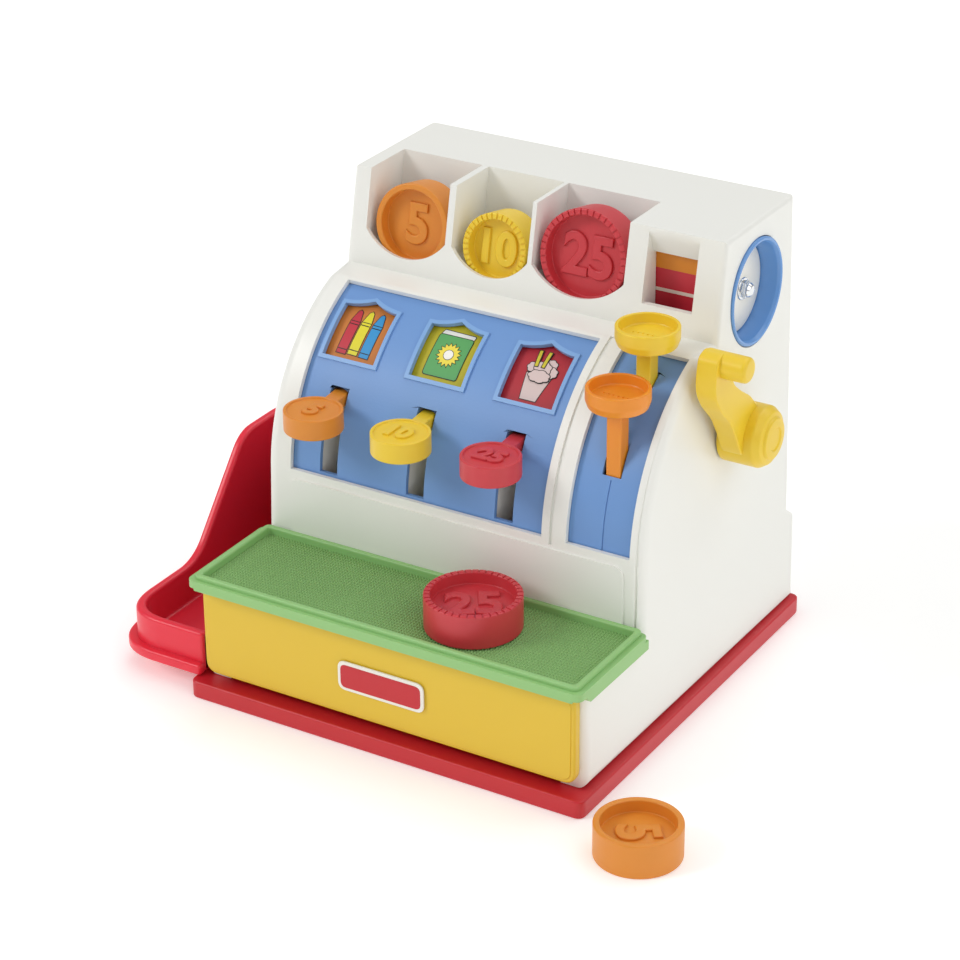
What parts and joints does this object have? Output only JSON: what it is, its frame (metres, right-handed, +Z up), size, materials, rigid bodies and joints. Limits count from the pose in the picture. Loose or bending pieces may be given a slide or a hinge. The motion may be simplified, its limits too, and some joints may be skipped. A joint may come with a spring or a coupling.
{
  "type": "toy cash register",
  "caption": "Toy cash register with coin pockets, picture keys, a spring drawer, a side crank, a bell and a coin tray",
  "frame": {"origin": "centre of the base's underside, on the floor", "axes": "+X to the right past the crank and bell, +Y to the back, +Z up"},
  "size_m": [0.3418, 0.2709, 0.242],
  "materials": {
    "white_plastic": "moulded, soft gloss",
    "red_plastic": "moulded, soft gloss",
    "yellow_plastic": "moulded, soft gloss",
    "orange_plastic": "moulded, soft gloss",
    "coin_red_plastic": "moulded, soft gloss",
    "blue_plastic": "fine satin",
    "bell_blue_plastic": "moulded gloss",
    "green_plastic": "satin, fine ribs",
    "grey_plastic": "plain moulded",
    "steel": "bright wire and rod",
    "bell_chrome": "polished",
    "printed_paper": "printed picture card"
  },
  "bodies": {
    "register_body": {"base": "red_plastic", "housing": "white_plastic", "coin_tray": "red_plastic", "counter_top": "green_plastic", "key_panel": "blue_plastic", "lever_panel": "blue_plastic", "picture_crayons": "printed_paper", "picture_book": "printed_paper", "picture_milkshake": "printed_paper", "case_screw_front_left": "steel", "case_screw_front_right": "steel", "case_screw_rear_left": "steel", "case_screw_rear_right": "steel", "mechanism_plate": "grey_plastic", "key_guide": "grey_plastic", "key_walls": "white_plastic", "key_shaft": "steel", "coin_chute": "grey_plastic", "key_spring_5": "steel", "key_spring_10": "steel", "key_spring_25": "steel", "plunger_spring_total": "steel", "plunger_spring_sale": "steel", "drawer_spring": "steel", "latch_pin": "steel", "bell_ring": "bell_blue_plastic", "bell_dome": "bell_chrome", "bell_nut": "bell_chrome", "bell_post": "steel", "striker_pin": "steel", "sign_pin": "steel"},
    "drawer": {"drawer_box": "yellow_plastic", "drawer_front": "yellow_plastic", "drawer_badge": "red_plastic"},
    "latch": {"drawer_latch": "grey_plastic"},
    "coin_key_5": {"key_5": "orange_plastic"},
    "coin_key_10": {"key_10": "yellow_plastic"},
    "coin_key_25": {"key_25": "coin_red_plastic"},
    "total_key": {"function_key_total": "orange_plastic"},
    "sale_key": {"function_key_sale": "yellow_plastic"},
    "crank": {"crank_handle": "yellow_plastic", "crank_shaft": "steel", "bell_cam": "grey_plastic"},
    "striker": {"bell_striker": "grey_plastic"},
    "sign": {"sign_flap": "red_plastic"},
    "pocket_coin_5": {"coin_5": "orange_plastic"},
    "pocket_coin_10": {"coin_10": "yellow_plastic"},
    "pocket_coin_25": {"coin_25": "coin_red_plastic"},
    "counter_coin": {"coin_25_counter": "coin_red_plastic"},
    "floor_coin": {"coin_5_floor": "orange_plastic"}
  },
  "joints": [
    {"name": "drawer_slide", "type": "slide", "parent": "register_body", "child": "drawer", "axis": [0, -1, 0], "range_m": [0, 0.1]},
    {"name": "latch_pivot", "type": "hinge", "parent": "register_body", "child": "latch", "pos_m": [0, 0.02, 0.075], "axis": [1, 0, 0], "range_deg": [-4, 6], "stiffness_Nm_per_rad": 0.12},
    {"name": "coin_key_5_press", "type": "hinge", "parent": "register_body", "child": "coin_key_5", "pos_m": [0, 0.043, 0.1025], "axis": [1, 0, 0], "range_deg": [0, 20], "stiffness_Nm_per_rad": 0.25, "springref_deg": -6.88},
    {"name": "coin_key_10_press", "type": "hinge", "parent": "register_body", "child": "coin_key_10", "pos_m": [0, 0.043, 0.1025], "axis": [1, 0, 0], "range_deg": [0, 20], "stiffness_Nm_per_rad": 0.25, "springref_deg": -6.88},
    {"name": "coin_key_25_press", "type": "hinge", "parent": "register_body", "child": "coin_key_25", "pos_m": [0, 0.043, 0.1025], "axis": [1, 0, 0], "range_deg": [0, 20], "stiffness_Nm_per_rad": 0.25, "springref_deg": -6.88},
    {"name": "total_key_press", "type": "slide", "parent": "register_body", "child": "total_key", "axis": [0, 0, -1], "range_m": [0, 0.0065], "stiffness_N_per_m": 250, "springref_m": -0.003, "deforming": ["plunger_spring_total"]},
    {"name": "sale_key_press", "type": "slide", "parent": "register_body", "child": "sale_key", "axis": [0, 0, -1], "range_m": [0, 0.0065], "stiffness_N_per_m": 250, "springref_m": -0.003, "deforming": ["plunger_spring_sale"]},
    {"name": "crank_turn", "type": "hinge", "parent": "register_body", "child": "crank", "pos_m": [0, 0.038, 0.1415], "axis": [1, 0, 0], "continuous": true},
    {"name": "striker_swing", "type": "hinge", "parent": "register_body", "child": "striker", "pos_m": [0, 0.0665, 0.163], "axis": [1, 0, 0], "range_deg": [-6, 6], "stiffness_Nm_per_rad": 0.05},
    {"name": "sign_turn", "type": "hinge", "parent": "register_body", "child": "sign", "pos_m": [0, 0.045, 0.192], "axis": [-1, 0, 0], "range_deg": [0, 34]},
    {"name": "pocket_coin_5_lift", "type": "slide", "parent": "register_body", "child": "pocket_coin_5", "axis": [0, 0.1969, 0.9804], "range_m": [0, 0.055]},
    {"name": "pocket_coin_10_lift", "type": "slide", "parent": "register_body", "child": "pocket_coin_10", "axis": [0, 0.1969, 0.9804], "range_m": [0, 0.055]},
    {"name": "pocket_coin_25_lift", "type": "slide", "parent": "register_body", "child": "pocket_coin_25", "axis": [0, 0.1969, 0.9804], "range_m": [0, 0.055]},
    {"name": "counter_coin_lift", "type": "slide", "parent": "register_body", "child": "counter_coin", "axis": [0, 0, 1], "range_m": [0, 0.008]},
    {"name": "floor_coin_lift", "type": "slide", "parent": "register_body", "child": "floor_coin", "axis": [0, 0, 1], "range_m": [0, 0.1]}
  ],
  "couplings": [
    {"joint": "sign_turn", "follows": "sale_key_press", "rad_per_m": 91.24}
  ]
}
